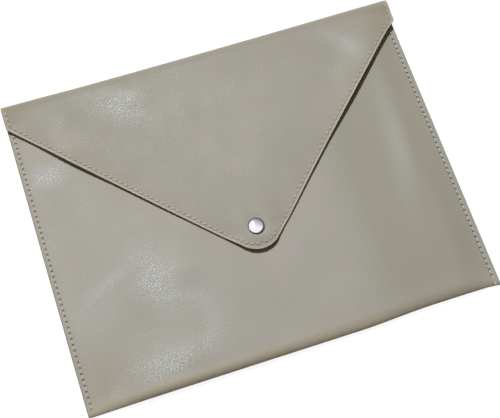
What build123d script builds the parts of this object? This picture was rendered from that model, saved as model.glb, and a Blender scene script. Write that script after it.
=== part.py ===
from build123d import *
import os
from math import asin, atan2, floor, hypot, tan

# A flat document wallet with a pointed flap, lying on its back with the flap closed.
# X is its width, Y runs up to the top fold and Z leaves the front. Lengths in millimetres.

# Outer leather and lining
body_width = 325.0
body_height = 256.0
leather = 1.0
lining = 0.4
pocket_gap = 4.8
mouth_drop = 14.0

# Side seams and the slope that rises from them to the front
seam_margin = 5.0
wing_run = 7.5
wing_bend = 8.0
fold_leg = 0.5
fold_stations = 7

# Flap
flap_overhang = 0.6
flap_side = 20.0
flap_depth = 175.5
shoulder_radius = 1.5
tip_radius = 20.0
flap_clearance = 0.8
lining_setback = 3.0
rise_foot = 58.0
rise_head = 20.0
rise_bend = 60.0

# Creases at the top fold
crease_clearance = 0.2

# Stitching
stitch_inset = 3.9
stitch_pitch = 4.6
stitch_length = 3.5
stitch_slant = 0.4
thread_width = 0.7
thread_height = 0.45
thread_seat = 0.12
groove_side = 0.15
groove_roof = 0.05
seam_end = 4.0
flap_seam_end = 4.0

# Snap fastener
snap_inset = 18.2
snap_gap = 3.2
cap_diameter = 12.8
cap_height = 2.2
cap_rim = 0.6
cap_wall = 0.4
dome_steps = 6
post_radius = 1.4
post_clearance = 0.1
hole_radius = 1.7
clinch_radius = 2.3
clinch_height = 0.3
plate = 0.4
socket_flange_radius = 5.2
socket_barrel_radius = 4.4
socket_bore_radius = 3.2
socket_lip_radius = 2.95
socket_lip = 0.3
spring_groove_radius = 3.7
spring_groove = 0.75
spring_wire = 0.6
spring_neck_clearance = 0.1
spring_slit_angle = 40.0
stud_flange_radius = 4.0
stud_clearance = 0.15
neck_radius = 2.3
neck_height = 1.55
head_radius = 2.7
head_crown_radius = 2.2
stud_height = 2.3
flare_radius = 1.85
flare_height = 0.3
rivet_radius = 3.8
cut_over = 5.0

# Levels through the closed wallet, from the table up
pocket_floor = leather + lining
pocket_roof = pocket_floor + pocket_gap
front_under = pocket_roof + lining
front_top = front_under + leather
seam_top = pocket_floor + lining + leather
flap_mid = front_top + flap_clearance + lining + leather / 2
snap_under = front_top + snap_gap
snap_mid = snap_under + lining + leather / 2
snap_top = snap_mid + leather / 2

# Places in plan
half_width = body_width / 2
half_height = body_height / 2
fold_line = -half_height + front_top / 2 + fold_leg
mouth_line = half_height - mouth_drop
crease_y = half_height - leather / 2
flap_half = half_width + flap_overhang
shoulder_y = half_height - flap_side
tip_y = half_height - flap_depth
snap_y = tip_y + snap_inset
seam_x = half_width - stitch_inset


def shifted(points, bends, shift):
    # A bent path moved sideways, to the left of its run, at an even distance.
    dots = [Vector(*point) for point in points]
    sides = [(b - a).normalized().rotate(Axis.Z, 90) for a, b in zip(dots, dots[1:])]
    moved = [dots[0] + sides[0] * shift]
    radii = []
    for dot, bend, before, after in zip(dots[1:], bends, sides, sides[1:]):
        moved.append(dot + (before + after) * (shift / (1 + before.dot(after))))
        turn = before.cross(after).Z
        radii.append(bend - shift if turn > 0 else bend + shift)
    moved.append(dots[-1] + sides[-1] * shift)
    return FilletPolyline(*moved, radius=radii)


def layer(points, bends, low, high):
    # The band between two even shifts of one path.
    lower = shifted(points, bends, low)
    upper = shifted(points, bends, high)
    ends = [Line(lower @ 0, upper @ 0), Line(lower @ 1, upper @ 1)]
    return make_face(lower.edges() + upper.edges() + ends)


def along_y(face, start, end):
    return Pos(0, end, 0) * extrude(Plane.XZ * face, amount=end - start)


def along_x(face, half):
    return extrude(Plane.YZ * face, amount=half, both=True)


def plate_box(x0, x1, y0, y1, z0, z1):
    size = (x1 - x0, y1 - y0, z1 - z0)
    return Pos((x0 + x1) / 2, (y0 + y1) / 2, (z0 + z1) / 2) * Box(*size)


def turned(edges, arc=360):
    # A body of revolution standing on the snap's own axis.
    face = Plane.XZ * make_face(edges)
    return Pos(0, snap_y, 0) * revolve(face, Axis.Z, arc)


def ring_outline(points):
    dots = [(radius, height) for radius, height in points]
    return Polyline(*dots, close=True).edges()


def hits(solid, x, y):
    # Where an upright line through a point in plan meets a solid, lowest first.
    found = []
    for face in solid.faces():
        found += face.find_intersection_points(Axis((x, y, 0), (0, 0, 1)))
    return sorted(found, key=lambda pair: pair[0].Z)


def stitch_bar():
    # One stitch: a bar of thread whose ends slant down to the needle holes.
    long = stitch_length / 2
    short = long - stitch_slant
    corners = [(-long, 0), (long, 0), (short, thread_height), (-short, thread_height)]
    face = make_face(Polyline(*corners, close=True).edges())
    return extrude(Plane.XZ * face, amount=thread_width / 2, both=True)


def stitches(solid, path, above):
    # Stitches at an even pitch along a path in plan, laid on the top or the underside.
    bar = stitch_bar()
    count = floor(path.length / stitch_pitch)
    laid = []
    for number in range(count):
        share = (number + 0.5) / count
        spot = path @ share
        run = path % share
        point, normal = hits(solid, spot.X, spot.Y)[-1 if above else 0]
        upright = Vector(0, 0, 1 if above else -1)
        outward = normal if normal.dot(upright) > 0 else normal * -1
        along = run - outward * run.dot(outward)
        seat = Plane(origin=point + outward * thread_seat, x_dir=along, z_dir=outward)
        laid.append(seat * bar)
    return laid


def front_path():
    # Middle line of the front leather across the width: seam, slope, front, slope, seam.
    low = seam_top - leather / 2
    high = front_top - leather / 2
    foot = half_width - seam_margin
    crown = foot - wing_run
    points = [(-half_width, low), (-foot, low), (-crown, high)]
    points += [(crown, high), (foot, low), (half_width, low)]
    return points, [wing_bend] * (len(points) - 2)


def flap_path():
    # Middle line of the flap from its crease to its point: level, then up over the snap.
    points = [(crease_y, flap_mid), (snap_y + rise_foot, flap_mid)]
    points += [(snap_y + rise_head, snap_mid), (tip_y - cut_over, snap_mid)]
    return points, [rise_bend] * (len(points) - 2)


def flap_corners(top):
    # Plan of the flap: sides, then two straight runs that meet the rounded point.
    centre_y = tip_y + tip_radius
    reach = hypot(flap_half, shoulder_y - centre_y)
    fall = atan2(shoulder_y - centre_y, flap_half) + asin(tip_radius / reach)
    apex_y = shoulder_y - flap_half * tan(fall)
    points = [(-flap_half, top), (-flap_half, shoulder_y), (0, apex_y)]
    points += [(flap_half, shoulder_y), (flap_half, top)]
    return points, [shoulder_radius, tip_radius, shoulder_radius]


def flap_prism():
    points, bends = flap_corners(half_height + cut_over)
    edge = shifted(points, bends, 0)
    face = make_face(edge.edges() + [Line(edge @ 0, edge @ 1)])
    return extrude(face, amount=snap_top + cut_over)


def snap_hole(low, high):
    tall = high - low
    return Pos(0, snap_y, (low + high) / 2) * Cylinder(hole_radius, tall)


def make_back():
    panel = plate_box(-half_width, half_width, fold_line, crease_y, 0, leather)
    panel += Pos(0, crease_y, leather / 2) * Rot(0, 90, 0) * Cylinder(leather / 2, body_width)
    depth = thread_height + thread_seat + groove_roof
    wide = thread_width / 2 + groove_side
    for side in (-1, 1):
        middle = side * seam_x
        groove_y = (fold_line - cut_over, mouth_line)
        panel -= plate_box(middle - wide, middle + wide, *groove_y, -cut_over, depth)
    return panel


def make_front():
    points, bends = front_path()
    panel = along_y(layer(points, bends, -leather / 2, leather / 2), fold_line, mouth_line)
    return panel - snap_hole(front_under - cut_over, front_top + cut_over)


def make_front_lining():
    points, bends = front_path()
    band = layer(points, bends, -leather / 2 - lining, -leather / 2)
    sheet = along_y(band, fold_line, mouth_line)
    return sheet - snap_hole(pocket_roof - cut_over, front_under + cut_over)


def make_back_lining():
    end = crease_y - lining_setback
    return plate_box(-half_width, half_width, fold_line, end, leather, pocket_floor)


def fold_section(x, top, under):
    # The leather turning up from the back to the front, cut square to the width.
    end = -half_height
    outer = end + top / 2
    inner = end + leather + (under - leather) / 2
    middle = (under + leather) / 2
    edges = [Line((fold_line, 0), (outer, 0))]
    edges.append(TangentArc((outer, 0), (end, top / 2), tangent=(-1, 0)))
    edges.append(TangentArc((end, top / 2), (outer, top), tangent=(0, 1)))
    edges.append(Line((outer, top), (fold_line, top)))
    edges.append(Line((fold_line, top), (fold_line, under)))
    edges.append(Line((fold_line, under), (inner, under)))
    edges.append(TangentArc((inner, under), (end + leather, middle), tangent=(-1, 0)))
    edges.append(TangentArc((end + leather, middle), (inner, leather), tangent=(0, -1)))
    edges.append(Line((inner, leather), (fold_line, leather)))
    edges.append(Line((fold_line, leather), (fold_line, 0)))
    return Plane.YZ.offset(x) * make_face(edges)


def make_bottom_fold(front):
    # Sections follow the front panel's own height from one seam to the other.
    low = seam_top - leather
    foot = half_width - seam_margin
    slope = atan2(front_top - seam_top, wing_run)
    bend = wing_bend * tan(slope / 2)
    first = foot - wing_run - bend
    last = foot + bend
    step = (last - first) / (fold_stations - 1)
    half = [first + step * number for number in range(fold_stations)]
    sections = []
    for x in [-place for place in reversed(half)] + half:
        found = hits(front, x, (fold_line + mouth_line) / 2)
        sections.append(fold_section(x, found[-1][0].Z, found[0][0].Z))
    sections.insert(0, fold_section(-half_width, seam_top, low))
    sections.append(fold_section(half_width, seam_top, low))
    return loft(sections, ruled=True)


def make_top_fold():
    # Upright strip between the two creases, hollowed to turn on the beads at its ends.
    inner = half_height - leather
    strip = plate_box(-half_width, half_width, inner, half_height, leather / 2, flap_mid)
    bore = leather / 2 + crease_clearance
    for level in (leather / 2, flap_mid):
        strip -= Pos(0, crease_y, level) * Rot(0, 90, 0) * Cylinder(bore, body_width + cut_over)
    step = leather / 2 + crease_clearance
    across = (-half_width - cut_over, half_width + cut_over)
    strip -= plate_box(*across, inner - cut_over, crease_y, 0, leather / 2 + step)
    strip -= plate_box(*across, inner - cut_over, crease_y, flap_mid - step, flap_mid + cut_over)
    return strip


def make_flap():
    points, bends = flap_path()
    panel = along_x(layer(points, bends, -leather / 2, leather / 2), flap_half)
    bead = Pos(0, crease_y, flap_mid) * Rot(0, 90, 0) * Cylinder(leather / 2, 2 * flap_half)
    panel = (panel + bead) & flap_prism()
    return panel - snap_hole(snap_under - cut_over, snap_top + cut_over)


def make_flap_lining():
    # The path runs down the page from the crease, so its right side is the outer face.
    points, bends = flap_path()
    points[0] = (crease_y - lining_setback, flap_mid)
    sheet = along_x(layer(points, bends, leather / 2, leather / 2 + lining), flap_half)
    sheet = sheet & flap_prism()
    return sheet - snap_hole(snap_under - cut_over, snap_top + cut_over)


def make_cap():
    # Domed shell with a turned-in rim and a post that is clinched under the socket plate.
    radius = cap_diameter / 2
    crown = snap_top + cap_height
    rim = snap_top + cap_rim
    inside = radius - cap_rim - cap_wall
    roof = crown - cap_wall
    under = snap_under - plate
    foot = under - clinch_height
    dome = TangentArc((0, crown), (radius, rim), tangent=(1, 0))
    edges = list(Polyline(*[dome @ (step / dome_steps) for step in range(dome_steps + 1)]).edges())
    edges.append(Line((radius, rim), (radius - cap_rim, snap_top)))
    edges.append(Line((radius - cap_rim, snap_top), (inside, snap_top)))
    edges.append(Line((inside, snap_top), (inside, rim)))
    edges.append(Line((inside, rim), (post_radius, roof)))
    edges.append(Line((post_radius, roof), (post_radius, under)))
    edges.append(Line((post_radius, under), (clinch_radius, under)))
    edges.append(Line((clinch_radius, under), (clinch_radius, foot)))
    edges.append(Line((clinch_radius, foot), (0, foot)))
    edges.append(Line((0, foot), (0, crown)))
    return turned(edges)


def make_socket():
    # Flanged cup under the flap, grooved inside for the ring spring.
    bottom = front_top + plate + stud_clearance
    lip = bottom + socket_lip
    groove = lip + spring_groove
    hole = post_radius + post_clearance
    roof = snap_under - plate
    points = [(hole, snap_under), (socket_flange_radius, snap_under)]
    points += [(socket_flange_radius, roof), (socket_barrel_radius, roof)]
    points += [(socket_barrel_radius, bottom), (socket_lip_radius, bottom)]
    points += [(socket_lip_radius, lip), (spring_groove_radius, lip)]
    points += [(spring_groove_radius, groove), (socket_bore_radius, groove)]
    points += [(socket_bore_radius, roof), (hole, roof)]
    return turned(ring_outline(points))


def make_spring():
    # Split ring of flat wire round the stud's neck, under its swollen head.
    level = front_top + plate + stud_clearance + socket_lip + spring_groove / 2
    middle = neck_radius + spring_neck_clearance + spring_wire / 2
    wire = Pos(middle, level) * Rectangle(spring_wire, spring_wire)
    return turned(wire.edges(), 360 - spring_slit_angle)


def make_stud():
    # Flange on the front panel, neck, and a head that swells past the ring spring.
    bore = post_radius + post_clearance
    seat = front_top + stud_height - flare_height - post_clearance
    well = flare_radius + post_clearance
    top = front_top + stud_height
    neck_top = front_top + neck_height
    swell = (neck_top + top) / 2
    points = [(neck_radius, neck_top), (neck_radius, front_top + plate)]
    points += [(stud_flange_radius, front_top + plate), (stud_flange_radius, front_top)]
    points += [(bore, front_top), (bore, seat), (well, seat), (well, top)]
    points += [(head_crown_radius, top), (head_radius, swell)]
    return turned(ring_outline(points))


def make_rivet():
    # Rivet from inside the pocket, through the front panel, flared in the stud's head.
    foot = pocket_roof - plate
    seat = front_top + stud_height - flare_height - post_clearance
    flare = seat + flare_height
    points = [(0, foot), (rivet_radius, foot), (rivet_radius, pocket_roof)]
    points += [(post_radius, pocket_roof), (post_radius, seat)]
    points += [(flare_radius, seat), (flare_radius, flare), (0, flare)]
    return turned(ring_outline(points))


def seam_run(x):
    return Line((x, -half_height + seam_end), (x, mouth_line - seam_end))


def flap_seam_path():
    points, bends = flap_corners(crease_y - flap_seam_end)
    bends = [shoulder_radius + stitch_inset, tip_radius, shoulder_radius + stitch_inset]
    return shifted(points, bends, stitch_inset)


def mouth_run():
    reach = half_width - seam_margin - wing_run - wing_bend
    level = mouth_line - stitch_inset
    return Line((-reach, level), (reach, level))


back_panel = make_back()
front_panel = make_front()
front_lining = make_front_lining()
flap_panel = make_flap()
flap_lining = make_flap_lining()

nodes = {
    "back_panel": back_panel,
    "bottom_fold": make_bottom_fold(front_panel),
    "front_panel": front_panel,
    "back_lining": make_back_lining(),
    "front_lining": front_lining,
    "top_fold": make_top_fold(),
    "flap_panel": flap_panel,
    "flap_lining": flap_lining,
    "snap_cap": make_cap(),
    "snap_socket": make_socket(),
    "socket_spring": make_spring(),
    "snap_stud": make_stud(),
    "snap_post": make_rivet(),
}

for name, side in (("left_seam_thread", -1), ("right_seam_thread", 1)):
    run = seam_run(side * seam_x)
    nodes[name] = stitches(front_panel, run, True) + stitches(back_panel, run, False)

mouth = mouth_run()
nodes["mouth_seam_thread"] = stitches(front_panel, mouth, True) + stitches(front_lining, mouth, False)

edge = flap_seam_path()
nodes["flap_seam_thread"] = stitches(flap_panel, edge, True) + stitches(flap_lining, edge, False)

os.makedirs("parts", exist_ok=True)
for name, shape in nodes.items():
    solids = shape if isinstance(shape, list) else [shape]
    whole = Compound(children=[solid for part in solids for solid in part.solids()])
    export_step(whole, f"parts/{name}.step")
    box = whole.bounding_box()
    print(name, len(whole.solids()), round(whole.volume, 1), box.min, box.max, whole.is_valid)
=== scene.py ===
import math

import bpy
import numpy as np
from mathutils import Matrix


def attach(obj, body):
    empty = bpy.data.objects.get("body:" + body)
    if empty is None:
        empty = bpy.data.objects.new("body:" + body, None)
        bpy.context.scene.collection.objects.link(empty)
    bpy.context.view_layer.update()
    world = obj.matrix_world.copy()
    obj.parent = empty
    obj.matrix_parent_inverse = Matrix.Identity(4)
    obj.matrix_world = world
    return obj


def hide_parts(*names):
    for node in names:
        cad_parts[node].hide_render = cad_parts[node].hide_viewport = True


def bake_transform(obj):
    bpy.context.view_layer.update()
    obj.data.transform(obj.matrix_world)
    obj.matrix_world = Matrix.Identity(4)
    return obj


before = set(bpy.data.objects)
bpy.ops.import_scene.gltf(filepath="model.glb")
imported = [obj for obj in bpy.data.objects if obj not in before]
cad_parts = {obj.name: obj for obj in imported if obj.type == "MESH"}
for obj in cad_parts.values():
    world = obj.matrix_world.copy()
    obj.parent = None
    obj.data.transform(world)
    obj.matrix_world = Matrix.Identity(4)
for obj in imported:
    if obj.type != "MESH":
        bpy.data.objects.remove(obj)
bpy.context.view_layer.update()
mm = 0.001
print("stage: frame")


# small helpers

def smooth(t):
    # soft step from 0 to 1
    t = np.clip(t, 0.0, 1.0)
    return t * t * (3.0 - 2.0 * t)


def bell(distance, width):
    # 1 in the middle, falling off alike on both sides
    return np.exp(-(distance / width) ** 2)


def unit(v):
    # vectors brought to a length of 1
    return v / np.maximum(np.linalg.norm(v, axis=-1, keepdims=True), 1e-12)


def mound(x, y, middleX, middleY, halfLong, halfWide, turn=0.0):
    # a smooth round rise, longer one way than the other, turned by some degrees
    cosine = math.cos(math.radians(turn))
    sine = math.sin(math.radians(turn))
    u = (x - middleX) * cosine + (y - middleY) * sine
    v = (y - middleY) * cosine - (x - middleX) * sine
    return np.exp(-((u / halfLong) ** 2 + (v / halfWide) ** 2))


def spots(x, y, rows):
    # mounds added up; a row is a strength, then the middle, the half sizes and the turn of one mound
    return sum(strength * mound(x, y, *place) for strength, *place in rows)


def joinRuns(runs):
    # runs of samples joined at the end points that they share
    return np.concatenate([runs[0]] + [run[1:] for run in runs[1:]])


def addObject(name, data):
    obj = bpy.data.objects.new(name, data)
    bpy.context.scene.collection.objects.link(obj)
    return obj


def makeObject(name, verts, faces, attributes):
    # verts are in millimetres, faces are lists, and an attribute has one vector per vertex
    mesh = bpy.data.meshes.new(name)
    mesh.from_pydata((verts * mm).tolist(), [], faces)
    mesh.polygons.foreach_set("use_smooth", np.ones(len(mesh.polygons), bool))
    for key, value in attributes.items():
        layer = mesh.attributes.new(key, "FLOAT_VECTOR", "POINT")
        layer.data.foreach_set("vector", value.astype(np.float32).ravel())
    mesh.update()
    return addObject(name, mesh)


def quads(a, b, c, d):
    # faces with four corners, from one array for each corner
    return np.stack([a, b, c, d], -1).reshape(-1, 4)


# the third part of a seam attribute is the distance from the edge; the inner face adds a
# mark to it and the cut rim has a mark instead, and the leather's paint reads both
sheetRim = {"bulge": 0.8, "rings": 3, "insideMark": 500.0, "cutMark": 0.3, "cutMarkStep": 0.6}


def sheetShell(name, outer, thick, flip=False, flush=False, seam=None, wearAndLight=None, tone=None):
    # A sheet with thickness: the outer grid, the same grid moved inward along its
    # normal, and a half-round rim that runs once round the border between the two.
    # A flush sheet has a flat rim along its first row, where the next sheet meets it.
    rows, cols = outer.shape[:2]
    count = rows * cols
    rings = sheetRim["rings"]
    alongRow = np.gradient(outer, axis=1)
    alongCol = np.gradient(outer, axis=0)
    normal = unit(np.cross(alongRow, alongCol)) * (-1.0 if flip else 1.0)
    index = np.arange(count).reshape(rows, cols)
    loop = np.concatenate([index[0, :-1], index[:-1, -1], index[-1, :0:-1], index[:0:-1, 0]])
    away = np.zeros_like(outer)
    away[0] -= unit(alongCol[0])
    away[-1] += unit(alongCol[-1])
    away[:, 0] -= unit(alongRow[:, 0])
    away[:, -1] += unit(alongRow[:, -1])
    up = normal.reshape(-1, 3)[loop]
    side = away.reshape(-1, 3)[loop]
    side = unit(side - up * (side * up).sum(-1, keepdims=True))
    middle = outer.reshape(-1, 3)[loop] - up * thick / 2
    bulge = np.full((len(loop), 1), sheetRim["bulge"])
    if flush:
        bulge[: cols - 1] = 0.0
    angles = np.linspace(0, math.pi, rings + 2)[1:-1]
    rim = [middle + thick / 2 * (up * math.cos(a) + side * bulge * math.sin(a)) for a in angles]
    verts = np.concatenate([outer.reshape(-1, 3), (outer - normal * thick).reshape(-1, 3)] + rim)
    a = index[:-1, :-1]
    b = index[:-1, 1:]
    c = index[1:, 1:]
    d = index[1:, :-1]
    faces = [quads(a, b, c, d), quads(d, c, b, a) + count]
    rimIds = [2 * count + len(loop) * k + np.arange(len(loop)) for k in range(rings)]
    belts = [loop] + rimIds + [loop + count]
    for one, two in zip(belts, belts[1:]):
        faces.append(quads(two, np.roll(two, 1), np.roll(one, 1), one))
    faces = np.concatenate(faces)
    if flip:
        faces = faces[:, ::-1]
    attributes = {"rest": verts * mm}
    if seam is not None:
        outerSeam = seam.reshape(-1, 3)
        innerSeam = outerSeam + np.array([0.0, 0.0, sheetRim["insideMark"]])
        rimSeam = []
        for k in range(rings):
            mark = sheetRim["cutMark"] + sheetRim["cutMarkStep"] * k
            rimSeam.append(outerSeam[loop] * np.array([1, 1, 0]) - np.array([0, 0, mark]))
        attributes["seam"] = np.concatenate([outerSeam, innerSeam] + rimSeam)
        # worn spots with painted glints, painted shade in the fold and painted light; then tones with painted
        # shade and painted highlights
        attributes["wearAndLight"] = wearAndLight(verts[:, 0], verts[:, 1])
        attributes["tone"] = tone(verts[:, 0], verts[:, 1])
    obj = makeObject(name, verts, faces.tolist(), attributes)
    if flush:
        # the flat end has hard edges, so that both sheets shade as one surface up to it
        softFace = np.ones(len(faces), bool)
        for k in range(rings + 1):
            start = 2 * (rows - 1) * (cols - 1) + k * len(loop)
            softFace[start: start + cols] = False
        obj.data.polygons.foreach_set("use_smooth", softFace)
    return obj


# sizes shared by the pieces, in millimetres

wallet = {
    "halfWidth": 162.5, "halfHeight": 128.0, "leather": 1.0, "foldRadius": 4.9, "mouth": 114.0,
    "pitch": 4.6, "seamInset": 3.9, "rightSeamShift": 0.45, "seamLow": -124.0, "mouthSeamHalf": 142.0,
    "snapY": -29.3, "snapTop": 12.2, "flapShift": 0.55,
    "edgeTrim": 0.4,  # room that the half-round rim of the leather takes
    "noSeam": 90.0,  # distance given to places without a seam
}
halfW = wallet["halfWidth"]
halfH = wallet["halfHeight"]
foldR = wallet["foldRadius"]
mouth = wallet["mouth"]
pitch = wallet["pitch"]
inset = wallet["seamInset"]
seamLow = wallet["seamLow"]
snapY = wallet["snapY"]
flapShift = wallet["flapShift"]
trim = wallet["edgeTrim"]
noSeam = wallet["noSeam"]
quarter = math.pi / 2


def seamInset(x):
    # the right seam runs a little further from its edge than the left one
    return inset + wallet["rightSeamShift"] * (x > 0)


def foldShade(y):
    # how far a place lies into the top fold
    return smooth((y - halfH + 11) / 9)


# outline of the body
bodyOutline = {
    "topDrop": 0.55, "topTilt": 0.5, "topBow": 0.9, "topLeftRise": 1.15,
    "flatEnds": 0.4, "flatLeft": 0.6, "bottomDrop": 1.2, "bottomPull": 2.0, "lean": 0.95,
}


def topEdge(x):
    # the top fold bows in a little between its corners and stands higher at its left end
    u = x / halfW
    rise = bodyOutline["topLeftRise"] * smooth((-0.6 - u) / 0.4)
    bow = bodyOutline["topBow"] * (1 - u ** 2)
    return halfH - bodyOutline["topDrop"] - bodyOutline["topTilt"] * u - bow + rise


def foldRadius(x):
    # the fold is flatter at its ends, where the sides are sewn, and more so on the left
    ends = bodyOutline["flatEnds"] * smooth(1 - (halfW - np.abs(x)) / 42)
    return foldR - ends - bodyOutline["flatLeft"] * smooth((-114 - x) / 40)


def bottomEdge(x):
    # the bottom fold is pulled in towards its right end
    pull = bodyOutline["bottomPull"] * smooth((x - 48) / 60) * smooth((175 - x) / 25)
    return -halfH - bodyOutline["bottomDrop"] + pull


def drift(y):
    # the body leans to the right towards its bottom, and the fold sits a little to the right
    down = np.clip((mouth - y) / (mouth + halfH), 0, 1)
    return bodyOutline["lean"] * down ** 1.4 + flapShift * smooth((y - mouth) / 10)


# body: one sheet from the top fold down the back, round the bottom and up the front

frontForm = {
    "margin": 2.8, "marginWidth": 4.0, "slope": 35.0, "edgeRound": 3.4, "edgeDrop": 0.7,
    "crown": 6.5, "snapRise": 1.1, "rightDrop": 0.7, "seamSink": 0.22, "backGroove": 0.55, "grooveWidth": 0.9,
    "dents": [
        (-0.8, -104, -78, 18, 18), (1.0, -65, -46, 17, 15), (0.9, -79, -108, 18, 12),
        (0.2, -132, 60, 10, 14), (0.9, 132, 8, 11, 55, -8), (0.2, -122, -40, 30, 5, 27),
    ],
    "rollShort": 3.0, "rollLeft": 3.2, "rollRight": 3.6,
    "rollLowShare": 0.36,  # share of the bottom roll's height that lies below its foremost line
}
bodyRows = {"fold": 9, "back": 63, "halfRoll": 8, "front": 125}
onFold, onBack, onRoll, onFront = range(4)


def frontHeight(x, y):
    # outer face of the front: a sewn margin, a soft rise, and a shallow uneven pillow
    d = halfW - np.abs(x)
    slope = frontForm["slope"] - 9 * np.tanh(x / 40) + 4 * np.sin(0.035 * y + 0.8)
    rise = smooth((d - frontForm["marginWidth"]) / slope)
    swell = frontForm["crown"] + frontForm["snapRise"] * smooth((75 - np.hypot(x, y - snapY)) / 45)
    swell = swell + 0.16 * np.sin(0.043 * x + 0.030 * y + 0.6) + 0.14 * np.sin(0.055 * y - 0.021 * x + 2.0)
    swell = swell + spots(x, y, frontForm["dents"]) - frontForm["rightDrop"] * smooth((x - 66) / 45)
    z = frontForm["margin"] + (swell - frontForm["margin"]) * rise
    z = z - frontForm["edgeDrop"] * smooth((frontForm["edgeRound"] - d) / frontForm["edgeRound"])
    # the seam is sunk, most of all at its needle holes
    inRun = smooth((y - seamLow + 2) / 3) * smooth((mouth - y) / 3)
    dip = 0.75 + 0.25 * np.cos(2 * math.pi * (y - seamLow) / pitch)
    return z - frontForm["seamSink"] * bell(d - seamInset(x), frontForm["grooveWidth"]) * dip * inRun


def backHeight(x, y):
    # outer face of the back: flat, with a shallow groove where each seam is sunk
    d = halfW - np.abs(x)
    inRun = smooth((y - seamLow + 3) / 3) * smooth((mouth - 1 - y) / 3)
    return frontForm["backGroove"] * bell(d - seamInset(x), frontForm["grooveWidth"]) * inRun


def rollLength(x):
    # how far up the front the bottom roll reaches
    long = frontForm["rollLeft"] + frontForm["rollRight"] * smooth((x + 70) / 130)
    return frontForm["rollShort"] + long * smooth((halfW - np.abs(x) - 3) / 16)


def frontSurface(x, y):
    # the front together with the roll at its bottom
    top = bottomEdge(x) + rollLength(x)
    tall = frontHeight(x, top)
    part = np.clip((top - y) / rollLength(x), 0, 1)
    low = frontForm["rollLowShare"] * tall
    return np.where(y < top, low + (tall - low) * np.sqrt(1 - part ** 2), frontHeight(x, y))


def bodyGrid():
    # columns are close together in the sewn margins, where the seams are
    margin = np.concatenate([np.linspace(0, 6, 16), np.linspace(6.8, 24, 18)])
    middle = np.linspace(-halfW + 27, halfW - 27, 92)
    x = np.concatenate([-halfW + trim + margin, middle, (halfW - trim - margin)[::-1]])[None, :]
    # lower quarter of the top fold, turning from upright at its middle to flat on the table
    turn = np.linspace(0, quarter, bodyRows["fold"])[:, None]
    bend = foldRadius(x)
    hub = topEdge(x) - bend
    foldY = hub + bend * np.cos(turn)
    foldZ = bend - bend * np.sin(turn)
    # half round at the bottom: a quarter circle below, a long quarter ellipse above
    edge = bottomEdge(x)
    long = rollLength(x)
    tall = frontHeight(x, edge + long)
    low = frontForm["rollLowShare"] * tall
    turn = np.linspace(0, quarter, bodyRows["halfRoll"] + 1)[1:, None]
    lowY = edge + low - low * np.sin(turn)
    lowZ = low - low * np.cos(turn)
    highY = edge + long - long * np.cos(turn)
    highZ = low + (tall - low) * np.sin(turn)
    # the back between the two, and the front from the roll up to its mouth
    share = np.linspace(0, 1, bodyRows["back"] + 1)[1:, None]
    backY = hub + (edge + low - hub) * share
    share = np.linspace(0, 1, bodyRows["front"] + 1)[1:, None]
    frontY = edge + long + (mouth - trim - edge - long) * share
    frontZ = tall + (frontHeight(x, frontY) - tall) * smooth(share / 0.03)
    y = np.concatenate([foldY, backY, lowY, highY, frontY])
    z = np.concatenate([foldZ, backHeight(x, backY), lowZ, highZ, frontZ])
    counts = [bodyRows["fold"], bodyRows["back"], 2 * bodyRows["halfRoll"], bodyRows["front"]]
    kind = np.repeat([onFold, onBack, onRoll, onFront], counts)[:, None]
    return np.stack([np.broadcast_to(x, y.shape), y, z], -1), kind


def bodySeams(grid, kind):
    # run along the nearest stitch line in stitches, distance from it, distance from the edge
    x = grid[..., 0]
    y = grid[..., 1]
    d = halfW - np.abs(x)
    sewn = ((kind == onBack) | (kind == onFront)) & (y > seamLow - 1) & (y < mouth - 2.5)
    sideOff = np.where(sewn, d - seamInset(x), noSeam)
    mouthOff = np.where((kind == onFront) & (np.abs(x) < wallet["mouthSeamHalf"]), mouth - inset - y, noSeam)
    nearMouth = np.abs(mouthOff) < np.abs(sideOff)
    run = np.where(nearMouth, x / pitch, (y - seamLow) / pitch)
    off = np.where(nearMouth, mouthOff, sideOff)
    edge = np.where(kind == onFront, np.minimum(d, mouth - y), d)
    return np.stack([run, off, edge], -1)


# outline of the flap, which the tones of the front follow too
flapSize = {
    "half": 163.1, "shoulder": 108.0, "tip": -48.6, "tipRadius": 20.0, "seamTop": 122.5, "inset": 3.2,
}
flapHalfWidth = flapSize["half"]
shoulder = flapSize["shoulder"]
tipRadius = flapSize["tipRadius"]
tipCentre = flapSize["tip"] + tipRadius
reach = math.hypot(flapHalfWidth, shoulder - tipCentre)
fall = math.atan2(shoulder - tipCentre, flapHalfWidth) + math.asin(tipRadius / reach)
tangentY = tipCentre - tipRadius * math.cos(fall)
tangentX = tipRadius * math.sin(fall)

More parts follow.
